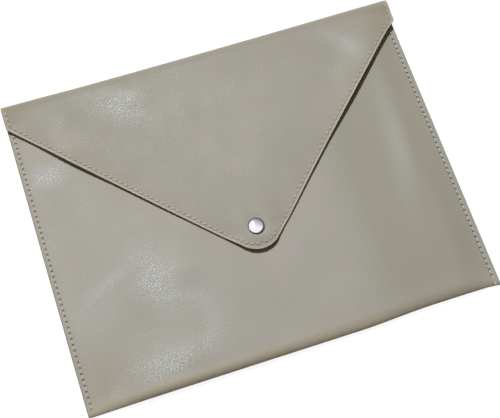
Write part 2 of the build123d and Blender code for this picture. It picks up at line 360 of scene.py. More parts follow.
# worn spots with painted glints, warm tones with some painted shade, painted highlights and painted shade of
# the body's leather
dent = {"x": -75.5, "y": -83.0, "radius": 23.0, "width": 6.0, "wornAndGlint": 0.18, "pale": 0.26}
bodyMarks = {
    "wornAndGlint": [
        (1.0, -85, -47, 10, 19, 12), (0.9, -97, -110, 22, 9), (1.0, -140, 61.5, 12, 6.5, 12),
        (0.35, -80, -111, 6, 6), (0.3, -57, -110, 9, 4), (0.3, -136, -118, 8, 4, 15),
        (0.2, -122, -40, 28, 5, 27),
    ],
    # warm tones; the mark by the right seam is brown painted shade on the slope that faces away
    "warmToneAndShade": [(0.7, 147, 25, 8, 55, -8), (1.0, -143, -101, 17, 18), (0.35, -147, -116, 7, 9)],
    # painted highlights and sheen, on the crest of the right slope, round the worn spots and in the middle
    "pale": [
        (0.20, 131, 8, 7, 45, -8), (0.14, -123, -40, 32, 6, 27), (0.32, -83, -48, 16, 24, 12),
        (0.34, -95, -109, 25, 12), (0.5, -141, 62, 11, 8), (0.12, -141, 62, 18, 13), (0.12, -40, -70, 40, 30),
        (0.14, -122, -55, 36, 28), (0.12, -146, -60, 9, 10), (0.22, -137, -119, 8, 4, 15),
    ],
    # painted shade at one place on the left
    "paintedShade": [(0.3, -142, 36, 20, 16)],
    # painted highlight on the crest of the right slope, which takes back the painted shade there
    "sheen": [(0.7, 131, 8, 9, 48, -8)],  # where the dark right side is lighter again
    "bottomWarm": 0.25, "leftWarm": 0.4, "underFlapShade": 0.35, "rightEdgeHighlight": 0.45,
}


def dentRing(x, y):
    # right half of the raised border round a shallow dent in the lower left of the front
    across = x - dent["x"]
    up = y - dent["y"]
    return bell(np.hypot(across, up) - dent["radius"], dent["width"]) * smooth((across + 0.35 * up + 6) / 14)


def bodyWearAndLight(x, y):
    # raised spots on the front that are worn shinier and carry painted glints, painted shade in the top fold,
    # and painted light on the bottom roll
    wornAndGlint = spots(x, y, bodyMarks["wornAndGlint"]) + dent["wornAndGlint"] * dentRing(x, y)
    # painted light on the bottom roll, fading towards the right
    roll = smooth((-114 - y) / 12) * (1 - 0.85 * smooth((x - 40) / 90))
    return np.stack([np.clip(wornAndGlint, 0, 1), foldShade(y), roll], -1)


def bodyToneAndLight(x, y):
    # painted shade darkens the right side, less on the crest of its slope and near the bottom, and one place
    # on the left; warmer by the left seam, in the lower left corner and at the bottom, with brown painted
    # shade by the right seam and warm painted shade below the flap's left run; painted highlights and sheen
    # where it shines, on the dent's raised border and along the right edge
    nearBottom = smooth((-104 - y) / 14) * smooth((y + 125) / 6)
    paintedShade = smooth((x - 50) / 45) * (1 - spots(x, y, bodyMarks["sheen"])) * (1 - 0.3 * nearBottom)
    paintedShade = paintedShade + spots(x, y, bodyMarks["paintedShade"])
    bottom = smooth((-113 - y) / 12) * (1 + 1.2 * smooth((x - 60) / 60))
    below = (x + flapHalfWidth) * math.sin(fall) + (y - shoulder) * math.cos(fall)
    warmToneAndShade = spots(x, y, bodyMarks["warmToneAndShade"]) + bodyMarks["bottomWarm"] * bottom
    warmToneAndShade = warmToneAndShade + bodyMarks["leftWarm"] * smooth((-151 - x) / 5)
    # warm painted shade in and beside the shadow under the flap's left run
    warmToneAndShade = warmToneAndShade + bodyMarks["underFlapShade"] * bell(below + 5, 9) * smooth((20 - x) / 30)
    pale = spots(x, y, bodyMarks["pale"]) + dent["pale"] * dentRing(x, y)
    # painted highlight along the right margin
    pale = pale + bodyMarks["rightEdgeHighlight"] * smooth((x - 159.3) / 1.2)
    return np.stack([paintedShade, np.clip(warmToneAndShade, 0, 1), np.clip(pale, 0, 1)], -1)


grid, kind = bodyGrid()
seams = bodySeams(grid, kind)
grid[..., 0] += drift(grid[..., 1])
body = sheetShell("outerLeather", grid, wallet["leather"], flush=True, seam=seams, wearAndLight=bodyWearAndLight, tone=bodyToneAndLight)
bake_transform(body)
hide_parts("back_panel", "bottom_fold", "front_panel")
print("stage: body")


# flap: upper half of the top fold, then the five-sided flap

flapHub = halfH - foldR
flapForm = {
    "sag": 0.9, "snapLift": 3.3, "tipDrop": 0.9, "capDip": 0.22, "capDipRadius": 7.4, "tipSeamShift": 1.2,
    "cornerSoft": 0.35,  # how softly the sides turn into the straight runs
    "dents": [(0.7, -57, 101, 14, 10), (0.4, 131, 93, 14, 9, -35)],
    # lifts of the free border: height, place from left to right, half length
    "lifts": [(1.9, -119, 18), (0.28, -35, 16), (0.6, 36, 13), (0.2, 58, 26)],
    "rightLift": 2.2, "leftDrop": 0.3, "tipPinch": 0.6,
}
# worn spots with painted glints, warm painted light round the snap, warm tones, painted highlights and
# painted shade of the flap's leather
flapMarks = {
    "wornAndGlint": [(1.0, -72, 101, 17, 9, -32), (0.2, 117, 98, 17, 6, -49)],
    "glow": [(1.0, 13, -34, 8, 11, -30), (0.7, -14, -38, 9, 4, -35)],
    "warmToneAndShade": [(0.4, 135, 114, 26, 12)],
    # painted highlights
    "pale": [
        (0.25, -70, 101, 23, 13, -32), (0.09, -22, 94, 28, 14), (0.4, 116, 99, 20, 7, -49),
        (0.16, 24, 0, 14, 32, 25), (0.05, 60, 14, 26, 55, 32),
    ],
    # painted shade at a few places on the flap
    "paintedShade": [(0.35, -116, 104, 22, 13), (0.45, -84, 64, 48, 30), (0.15, 40, 72, 26, 20)],
    "leftWarm": 0.25, "rightWarm": 0.7, "foldWarm": 0.35, "borderWarm": 0.28,
}


def flapHalf(y, inward=0.0):
    # half width of the flap at a height: its sides, its straight runs, its round point
    side = flapHalfWidth - inward
    radius = tipRadius - inward
    run = (y - tangentY) / math.tan(fall) + tangentX - inward / math.sin(fall)
    point = np.sqrt(np.maximum(radius ** 2 - (y - tipCentre) ** 2, 0))
    slope = np.where(y > tipCentre - radius * math.cos(fall), run, point)
    soft = flapForm["cornerSoft"]
    return np.minimum(slope, -soft * np.logaddexp(-side / soft, -slope / soft))


def edgeLift(x, y):
    # how far the flap's free border stands above or below its middle: both ends sink
    # onto the sewn margins, and the runs between them stand off the front
    border = smooth(1 - (flapHalf(y) - np.abs(x)) / 45)
    lift = sum(height * bell(x - place, long) for height, place, long in flapForm["lifts"])
    lift = lift - flapForm["leftDrop"] * smooth((-40 - x) / 20)
    lift = lift - flapForm["tipPinch"] * bell(x - 17, 7) * smooth((-24 - y) / 10)
    lift = lift + flapForm["rightLift"] * smooth((x - 70) / 45)
    sink = 1.2 * smooth((-128 - x) / 22) + 1.7 * smooth((x - 130) / 22) + 1.2 * smooth((x - 146) / 15)
    return border * (lift * smooth((120 - y) / 14) - sink * smooth((flapHub - y) / 15))


def warp(x, y):
    # the right edge bows in a little and the right shoulder hangs lower and further out;
    # what stands higher moves towards the viewer, so that the outline stays where it is
    share = x / np.maximum(flapHalf(y), 1.0)
    corner = bell(np.hypot(x - 163, y - shoulder), 11)
    bow = 1.3 * bell(y - 12, 45) * smooth(share) + 0.3 * bell(y - 20, 60) * smooth(-share)
    lift = edgeLift(x, y) - 1.2 * smooth((-114 - x) / 40)
    movedX = x + flapShift * smooth((y - 40) / 70) - bow + 0.1 * corner - 0.12 * np.maximum(lift, 0)
    movedY = y - 1.7 * corner - 0.33 * lift + 0.6 * smooth((-26 - y) / 16)
    return movedX, movedY


def flapHeight(x, y):
    # outer face of the flap: it falls away from the fold, lifts over the snap and is a little uneven
    free = smooth((120 - y) / 14)
    above = y - snapY
    ridgeWidth = 13 + 0.54 * np.maximum(above, 0)
    ridge = smooth((150 - np.abs(above)) / 150) * bell(np.maximum(np.abs(x) - 6, 0), ridgeWidth)
    uneven = 0.14 * np.sin(0.037 * x + 0.8) * np.sin(0.03 * y + 0.4)
    uneven = uneven + 0.12 * np.sin(0.05 * x - 0.045 * y + 1.0)
    z = 2 * foldRadius(x) - flapForm["sag"] * smooth((flapHub - y) / 32) + flapForm["snapLift"] * ridge
    z = z + edgeLift(x, y) + free * (uneven + spots(x, y, flapForm["dents"]))
    z = z - flapForm["tipDrop"] * smooth((snapY - 7 - y) / 13)
    return z - flapForm["capDip"] * bell(np.hypot(x, above) - flapForm["capDipRadius"], 1.6)


def flapEdge(x, y):
    # distance to the nearest border of the flap and the run along it, from either end of the fold
    across = flapHalfWidth - np.abs(x)
    down = shoulder - y
    along = across * math.cos(fall) + down * math.sin(fall)
    toSlope = np.abs(across * math.sin(fall) - down * math.cos(fall))
    angle = np.arctan2(np.abs(x), tipCentre - y)
    toTip = tipRadius - np.hypot(x, y - tipCentre)
    inTip = (angle < fall) & (y < tipCentre)
    sideLong = flapHub - shoulder
    slopeLong = math.hypot(flapHalfWidth - tangentX, shoulder - tangentY)
    tipRun = sideLong + slopeLong + (fall - angle) * (tipRadius - flapSize["inset"])
    run = np.where(inTip, tipRun, np.where(across < toSlope, flapHub - y, sideLong + along))
    return np.where(inTip, toTip, np.minimum(across, toSlope)), run


def tipShift(x, y):
    # the seam turns further from the border at the point than along the straight runs
    return flapForm["tipSeamShift"] * bell(x, 11) * smooth((-22 - y) / 10)


def flapGrid(inward, ys, edgeCols, innerCols, band):
    # rows from side to side, with close columns in a band along either border
    half = flapHalf(ys, inward)[:, None]
    wide = np.minimum(band, 0.5 * half)
    edgeShare = np.linspace(0, 1, edgeCols)[None, :]
    innerShare = np.linspace(-1, 1, 2 * innerCols + 1)[None, 1:-1]
    right = half - wide * (1 - edgeShare)
    x = np.concatenate([-right[:, ::-1], (half - wide) * innerShare, right], 1)
    return x, np.broadcast_to(ys[:, None], x.shape)


def flapWearAndLight(x, y):
    # a worn spot with painted glints at either end, painted shade in the top fold, and warm painted light on
    # the point round the snap
    glow = np.clip(spots(x, y, flapMarks["glow"]), 0, 1)
    return np.stack([spots(x, y, flapMarks["wornAndGlint"]), foldShade(y), glow], -1)


def flapToneAndLight(x, y):
    # painted shade in the fold and at a few places; warmer at both ends, along the fold and
    # along the upper parts of the border; painted highlights where it shines
    inward = (flapHalf(y) - np.abs(x)) * math.sin(fall)
    warmToneAndShade = flapMarks["leftWarm"] * smooth((-136 - x) / 20) + flapMarks["rightWarm"] * smooth((x - 136) / 20)
    warmToneAndShade = warmToneAndShade + flapMarks["foldWarm"] * smooth((y - 114) / 8) + spots(x, y, flapMarks["warmToneAndShade"])
    warmToneAndShade = warmToneAndShade + flapMarks["borderWarm"] * bell(inward, 20) * smooth((np.abs(x) - 50) / 50)
    paintedShade = smooth((y - 125) / 2) + spots(x, y, flapMarks["paintedShade"])
    return np.stack([paintedShade, np.clip(warmToneAndShade, 0, 1), spots(x, y, flapMarks["pale"])], -1)


tipRows = tipCentre - (tipRadius - trim) * np.cos(np.linspace(fall, 0.05, 16))


def flapSurface():
    # the flat rows of the flap, with a quarter turn of the top fold before them
    rows = joinRuns([
        np.linspace(flapHub - 0.5, shoulder + 3, 10), np.linspace(shoulder + 3, shoulder - 3, 18),
        np.linspace(shoulder - 3, tipRows[0], 108), tipRows,
    ])
    flatX, flatY = flapGrid(trim, rows, 14, 52, 7.0)
    x, y = warp(flatX, flatY)
    y = y + (topEdge(x) - halfH) * smooth((y - 112) / 10)
    flat = np.stack([x, y, flapHeight(x, flatY)], -1)
    turn = np.linspace(0, quarter, 10)[:-1, None]
    foldX = np.broadcast_to(x[:1], (len(turn), x.shape[1]))
    bend = foldRadius(foldX)
    foldY = topEdge(foldX) - bend + bend * np.cos(turn)
    curl = np.stack([foldX, foldY, bend + bend * np.sin(turn)], -1)
    # the seam: run in stitches, distance from it, distance from the edge
    allX = np.concatenate([foldX, flatX])
    edge = flapEdge(allX, np.concatenate([foldY, flatY]))[0]
    depth, run = flapEdge(allX, np.concatenate([foldY, flatY - tipShift(flatX, flatY)]))
    off = np.where(np.concatenate([foldY, flatY]) < flapSize["seamTop"], depth - flapSize["inset"], noSeam)
    off[: len(turn)] = noSeam
    return np.concatenate([curl, flat]), np.stack([run / pitch, off, edge], -1)


grid, seams = flapSurface()
flap = sheetShell(
    "flapLeather", grid, wallet["leather"], flip=True, flush=True, seam=seams, wearAndLight=flapWearAndLight, tone=flapToneAndLight)
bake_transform(flap)
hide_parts("flap_panel", "top_fold")
print("stage: flap")


# linings: cloth just under the leather of the flap, the front and the back

lining = {
    "flapInward": 1.0, "flapBelow": 1.02, "flapThick": 0.4,
    "sideInset": 1.4, "frontLow": -119.0, "frontTop": mouth - 0.8, "frontBelow": 1.06, "frontFloor": 1.72,
    "frontThick": 0.3, "backLow": -122.5, "backTop": halfH - 5.5, "backLevel": 1.38, "backThick": 0.36,
    "rows": 90,
}


def layCloth(name, x, y, z, thick, rides, node):
    # a sheet of cloth that hangs below a grid of points
    cloth = sheetShell(name, np.stack([x, y, z], -1), thick, flip=True)
    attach(cloth, rides)
    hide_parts(node)
    return cloth


straightRows = np.linspace(flapHub - 1, tipRows[0] + 1, 70)
pointRows = tipCentre - (tipRadius - lining["flapInward"]) * np.cos(np.linspace(fall, 0.06, 12))
x, y = flapGrid(lining["flapInward"], joinRuns([straightRows, pointRows]), 4, 40, 4.0)
warpX, warpY = warp(x, y)
z = flapHeight(warpX, y) - lining["flapBelow"]
flapLining = layCloth("flapLining", warpX, warpY, z, lining["flapThick"], "flap", "flap_lining")

clothEnd = halfW - lining["sideInset"]
clothX = np.concatenate([
    np.linspace(-clothEnd, -halfW + 26, 16), np.linspace(-halfW + 30, halfW - 30, 50),
    np.linspace(halfW - 26, clothEnd, 16),
])
x, y = np.meshgrid(clothX, np.linspace(lining["frontTop"], lining["frontLow"], lining["rows"]))
z = np.maximum(frontSurface(x, y) - lining["frontBelow"], lining["frontFloor"])
frontLining = layCloth("frontLining", x + drift(y), y, z, lining["frontThick"], "pocket", "front_lining")

x, y = np.meshgrid(clothX, np.linspace(lining["backTop"], lining["backLow"], lining["rows"]))
z = np.full(x.shape, lining["backLevel"])
backLining = layCloth("backLining", x + drift(y), y, z, lining["backThick"], "pocket", "back_lining")
print("stage: linings")


# stitches: thread that leaves one needle hole, crosses the leather and enters the next

stitch = {
    "length": 3.9, "halfWidth": 0.46, "halfThick": 0.30, "arch": 0.40, "sink": 0.30, "seat": 0.10,
    "lean": 9.0, "rings": 11, "sides": 8, "leftFade": 0.3, "rightRunFade": 0.42, "backSink": 0.02,
    "mouthDepth": 1.45, "flapDepth": 1.42,
}


def threadPiece(name, centres, along, normals, rides, node, fade=0.0):
    # each stitch is a tube whose middle line is an arch and whose ends narrow;
    # fade is how far each stitch takes on the colour of the leather
    along = unit(along - normals * (along * normals).sum(-1, keepdims=True))
    across = np.cross(normals, along)
    lean = math.radians(stitch["lean"])
    leanAlong = along * math.cos(lean) + across * math.sin(lean)
    leanAcross = across * math.cos(lean) - along * math.sin(lean)
    t = np.linspace(-1, 1, stitch["rings"])[:, None]
    turn = np.linspace(0, 2 * math.pi, stitch["sides"] + 1)[None, :-1]
    arch = stitch["arch"] * (1 - np.abs(t) ** 2.6) - stitch["sink"] * np.abs(t) ** 6
    girth = np.sqrt(np.maximum(1 - np.abs(t) ** 5, 0.02))
    long = (t * stitch["length"] / 2 + 0 * turn).ravel()
    wide = (girth * stitch["halfWidth"] * np.cos(turn)).ravel()
    high = (arch - stitch["seat"] + girth * stitch["halfThick"] * np.sin(turn)).ravel()
    verts = centres[:, None] + leanAlong[:, None] * long[None, :, None]
    verts = verts + leanAcross[:, None] * wide[None, :, None] + normals[:, None] * high[None, :, None]
    ids = np.arange(len(long)).reshape(stitch["rings"], stitch["sides"])
    nextIds = np.roll(ids, -1, 1)
    wall = quads(ids[1:], nextIds[1:], nextIds[:-1], ids[:-1])
    ends = np.stack([ids[0], ids[-1, ::-1]])
    starts = (np.arange(len(centres)) * len(long))[:, None, None]
    wallFaces = (wall[None] + starts).reshape(-1, 4).tolist()
    endFaces = (ends[None] + starts).reshape(-1, stitch["sides"]).tolist()
    ply = np.tile(np.stack([long, (turn + 0 * t).ravel()], -1), (len(centres), 1))
    faded = np.repeat(np.broadcast_to(fade, len(centres)), len(long))[:, None]
    twist = np.concatenate([ply, faded], 1)
    obj = makeObject(name, verts.reshape(-1, 3), wallFaces + endFaces, {"twist": twist})
    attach(obj, rides)
    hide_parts(node)
    return obj


def onHeight(height, x, y):
    # points on a height field
    return np.stack([x, y, height(x, y)], -1)


def outward(height, x, y):
    # upward normals of a height field, from its slopes
    step = 0.25
    slopeX = (height(x + step, y) - height(x - step, y)) / (2 * step)
    slopeY = (height(x, y + step) - height(x, y - step)) / (2 * step)
    return unit(np.stack([-slopeX, -slopeY, 1 + 0 * slopeX], -1))


def alike(vector, count):
    # one vector for each of some stitches
    return np.tile(np.array(vector, float), (count, 1))


threads = []
sideCount = int((mouth - 3.0 - seamLow) / pitch)
sideY = seamLow + pitch * (np.arange(sideCount) + 0.5)
# the right seam has one stitch more, at its foot
seamRows = (("left", -1, sideY, stitch["leftFade"]), ("right", 1, np.append(sideY, sideY[0] - pitch), 0.0))
for name, side, topY, fade in seamRows:
    seamX = side * (halfW - seamInset(side))
    top = onHeight(frontSurface, np.full(len(topY), seamX), topY)
    low = onHeight(backHeight, np.full(sideCount, seamX), sideY) - np.array([0, 0, stitch["backSink"]])
    centres = np.concatenate([top, low])
    centres[:, 0] += drift(centres[:, 1])
    normals = np.concatenate([alike((0, 0, 1), len(top)), alike((0, 0, -1), len(low))])
    along = alike((0, 1, 0), len(centres))
    threads.append(threadPiece(
        name + "SeamThread", centres, along, normals, "pocket", name + "_seam_thread", fade))

mouthHalfCount = int(wallet["mouthSeamHalf"] / pitch)
mouthX = pitch * np.arange(-mouthHalfCount, mouthHalfCount + 1)
mouthY = np.full(len(mouthX), mouth - inset)
top = onHeight(frontHeight, mouthX, mouthY)
topNormal = outward(frontHeight, mouthX, mouthY)
centres = np.concatenate([top, top - np.array([0, 0, stitch["mouthDepth"]])])
normals = np.concatenate([topNormal, -topNormal])
along = alike((1, 0, 0), len(centres))
threads.append(threadPiece("mouthThread", centres, along, normals, "pocket", "mouth_seam_thread"))


def flapSeamPath():
    # points and directions at even runs along the line one inset inside the right half of the border
    sideX = flapHalfWidth - flapSize["inset"]
    radius = tipRadius - flapSize["inset"]
    sideLong = flapHub - shoulder
    slopeLong = math.hypot(flapHalfWidth - tangentX, shoulder - tangentY)
    runs = pitch * (np.arange(int((sideLong + slopeLong + fall * radius) / pitch)) + 0.5)
    past = runs - sideLong
    angle = fall - (past - slopeLong) / radius
    slopeX = flapHalfWidth - past * math.cos(fall) - flapSize["inset"] * math.sin(fall)
    slopeY = shoulder - past * math.sin(fall) + flapSize["inset"] * math.cos(fall)
    stretches = [past < 0, past >= slopeLong]
    x = np.select(stretches, [sideX, radius * np.sin(angle)], slopeX)
    y = np.select(stretches, [flapHub - runs, tipCentre - radius * np.cos(angle)], slopeY)
    wayX = np.select(stretches, [0.0, -np.cos(angle)], -math.cos(fall))
    wayY = np.select(stretches, [-1.0, -np.sin(angle)], -math.sin(fall))
    # the first slope stitches would lie outside the side line, so they are left out
    keep = x <= sideX
    return x[keep], y[keep], wayX[keep], wayY[keep]


x, y, wayX, wayY = flapSeamPath()
y = y + tipShift(x, y)
x, y = np.concatenate([x, -x]), np.concatenate([y, y])
along = np.stack([np.concatenate([wayX, -wayX]), np.concatenate([wayY, wayY]), 0 * x], -1)
topNormal = outward(flapHeight, x, y)
warpX, warpY = warp(x, y)
top = np.stack([warpX, warpY, flapHeight(warpX, y)], -1)
# the right run of the seam shows less than the left one, and least at both ends and beside the snap
fade = stitch["rightRunFade"] * (x > 0) + spots(x, y, [(0.45, 16, -34, 15, 13), (0.3, -4, -44, 30, 16)])
fade = fade + 0.28 * smooth((-75 - x) / 50) + 0.3 * smooth((x - 105) / 35)
centres = np.concatenate([top, top - topNormal * stitch["flapDepth"]])
normals = np.concatenate([topNormal, -topNormal])
threads.append(threadPiece(
    "flapThread", centres, np.tile(along, (2, 1)), normals, "flap", "flap_seam_thread", np.tile(fade, 2)))
print("stage: threads")


# snap cap: spun dome with a rolled rim, and the post that holds it

cap = {
    "x": -0.5, "radius": 6.4, "height": 2.2, "rim": 0.62, "domeRadius": 5.9, "domeFall": 1.15, "segments": 72,
    # underside of the cap, then the post and its flange: radius and height
    "under": [
        (5.2, 0.0), (5.0, 0.3), (1.5, 1.2), (1.4, 0.6), (1.4, -1.8), (2.3, -1.8), (2.3, -2.1), (0.02, -2.1),
    ],
}


def lathe(name, profile, centre, segments):
    # a profile of radius and height, spun round an upright line
    turn = np.linspace(0, 2 * math.pi, segments + 1)[:-1]
    radius = profile[:, :1]
    height = profile[:, 1:] + 0 * turn
    verts = np.stack([centre[0] + radius * np.cos(turn), centre[1] + radius * np.sin(turn), height], -1)
    verts = verts.reshape(-1, 3)
    ids = np.arange(len(profile) * segments).reshape(len(profile), segments)
    nextIds = np.roll(ids, -1, 1)
    faces = quads(ids[:-1], ids[1:], nextIds[1:], nextIds[:-1]).tolist()
    return makeObject(name, verts, faces + [ids[0].tolist(), ids[-1, ::-1].tolist()], {"rest": verts * mm})


def capProfile():
    # from the middle out over the dome, round the rolled rim and back in below
    t = np.linspace(0.02, 1, 26)
    dome = np.stack([cap["domeRadius"] * t, cap["height"] - cap["domeFall"] * t ** 2.4], -1)
    turn = np.linspace(0.35 * math.pi, -quarter, 12)
    rim = cap["rim"] * np.stack([np.cos(turn), 1 + np.sin(turn)], -1)
    rim = rim + np.array([cap["radius"] - cap["rim"], 0])
    return np.concatenate([dome, rim, np.array(cap["under"])]) + np.array([0, wallet["snapTop"]])


snapCap = lathe("snapCap", capProfile(), (cap["x"], snapY), cap["segments"])
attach(snapCap, "flap")
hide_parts("snap_cap")
print("stage: snap")


# materials

class Val:
    # one shader socket; arithmetic on it adds Math nodes
    def __init__(self, paint, socket):
        self.paint = paint
        self.socket = socket

    def math(self, operation, *others):
        return self.paint.node("ShaderNodeMath", {"operation": operation}, dict(enumerate([self, *others])))

    def __add__(self, other):
        return self.math("ADD", other)

    def __sub__(self, other):
        return self.math("SUBTRACT", other)

    def __rsub__(self, other):
        return self.paint.node("ShaderNodeMath", {"operation": "SUBTRACT"}, {0: other, 1: self})

    def __mul__(self, other):
        return self.math("MULTIPLY", other)

    # sums and products read the same from either side
    __radd__ = __add__
    __rmul__ = __mul__

    def ramp(self, low, high, first=0.0, last=1.0):
        sockets = {0: self, 1: low, 2: high, 3: first, 4: last}
        return self.paint.node("ShaderNodeMapRange", {"interpolation_type": "SMOOTHSTEP"}, sockets)


class Paint:
    # the node tree of a material or a world, with its shader
    def __init__(self, owner, shader="Principled BSDF"):
        owner.use_nodes = True
        self.owner = owner
        self.tree = owner.node_tree
        self.shader = self.tree.nodes[shader]

    def feed(self, slot, value):
        if isinstance(value, Val):
            self.tree.links.new(value.socket, slot)
        else:
            slot.default_value = value

    def node(self, kind, settings, sockets, out=0):
        # sockets go by name, or by number where a node repeats a name
        node = self.tree.nodes.new(kind)
        for key, value in settings.items():
            setattr(node, key, value)
        for key, value in sockets.items():
            self.feed(node.inputs[key], value)
        return Val(self, node.outputs[out])

    def attribute(self, name):
        return self.node("ShaderNodeAttribute", {"attribute_name": name}, {}, "Vector")

    def parts(self, vector):
        first = self.node("ShaderNodeSeparateXYZ", {}, {"Vector": vector})
        return [Val(self, socket) for socket in first.socket.node.outputs]

    def mix(self, factor, first, second):
        return self.node("ShaderNodeMix", {"data_type": "RGBA"}, {0: factor, 6: first, 7: second}, 2)

    def noise(self, vector, scale, detail, rough=0.5):
        sockets = {"Vector": vector, "Scale": scale, "Detail": detail, "Roughness": rough}
        return self.node("ShaderNodeTexNoise", {}, sockets, "Fac")

    def bump(self, height, strength, distance, **below):
        sockets = {"Height": height, "Strength": strength, "Distance": distance, **below}
        return self.node("ShaderNodeBump", {}, sockets, "Normal")

    def set(self, **values):
        for key, value in values.items():
            self.feed(self.shader.inputs[key.replace("_", " ")], value)
        return self.owner

    def blend(self, factor, **values):
        # a second finish that shows through the first by a factor
        first = Val(self, self.shader.outputs[0])
        second = self.node("ShaderNodeBsdfPrincipled", {}, {})
        self.shader = second.socket.node
        self.set(**values)
        both = self.node("ShaderNodeMixShader", {}, {0: factor, 1: first, 2: second})
        self.feed(self.tree.nodes["Material Output"].inputs["Surface"], both)
        return self.owner


def newPaint(name):
    return Paint(bpy.data.materials.new(name))


def rgb(red, green, blue):
    return (red, green, blue, 1.0)


clothFinish = {
    "yarns": 5200.0, "low": rgb(0.12, 0.108, 0.088), "high": rgb(0.24, 0.22, 0.185),
    "slub": rgb(0.27, 0.25, 0.21),
}


def weave(paint):
    # plain twill: two sets of yarns that pass over each other along a slant
    rest = paint.attribute("rest")
    x, y = paint.parts(rest)[:2]
    u = x * clothFinish["yarns"]
    v = y * clothFinish["yarns"]
    over = (u * 0.5 + v * 0.5).math("SINE").ramp(-0.2, 0.2)
    height = (u.math("SINE") * 0.5 + 0.5) * over + (v.math("SINE") * 0.5 + 0.5) * (1.0 - over)
    slub = paint.noise(rest, 240.0, 3.0)
    colour = paint.mix(height, clothFinish["low"], clothFinish["high"])
    return paint.mix(slub.ramp(0.35, 0.7) * 0.4, colour, clothFinish["slub"]), height, slub


# colours of the leather; those in the first table take on each sheet's tint, which is painted light and shade
tintedLeather = {
    "deep": (0.306, 0.296, 0.252), "light": (0.324, 0.314, 0.270), "rosy": (0.330, 0.308, 0.285),
    "olive": (0.303, 0.302, 0.240), "paintedShade": (0.268, 0.260, 0.206), "warmToneAndShade": (0.298, 0.273, 0.212),
}
leatherColour = {
    "pale": rgb(0.395, 0.416, 0.422), "crease": rgb(0.20, 0.185, 0.145), "paintedGlint": rgb(0.55, 0.583, 0.598),
    "paintedGlintDark": rgb(0.24, 0.235, 0.215), "fold": rgb(0.24, 0.225, 0.175), "line": rgb(0.22, 0.20, 0.155),
    "cut": rgb(0.045, 0.034, 0.018), "hole": rgb(0.030, 0.024, 0.014), "sheen": rgb(0.86, 0.92, 1.0),
}
# the two sheets: how dark the painted shade in their needle holes and on their cut edges is, where the
# painted band along the rim ends, the colours of that band and of the painted light on the glowing places,
# and a tint that paints the body lighter and cooler and the flap darker
bodyFinish = {
    "hole": 0.57, "cut": 0.4, "rimReach": (-0.6, 1.6), "rim": rgb(0.25, 0.264, 0.266),
    "glow": rgb(0.39, 0.356, 0.262), "lightAndShadeTint": (1.05, 1.055, 1.115),
}
flapFinish = {
    "hole": 0.08, "cut": 0.95, "rimReach": (0.6, 2.4), "rim": rgb(0.49, 0.460, 0.385),
    "glow": rgb(0.384, 0.366, 0.30), "lightAndShadeTint": (0.95, 0.945, 0.967),
}


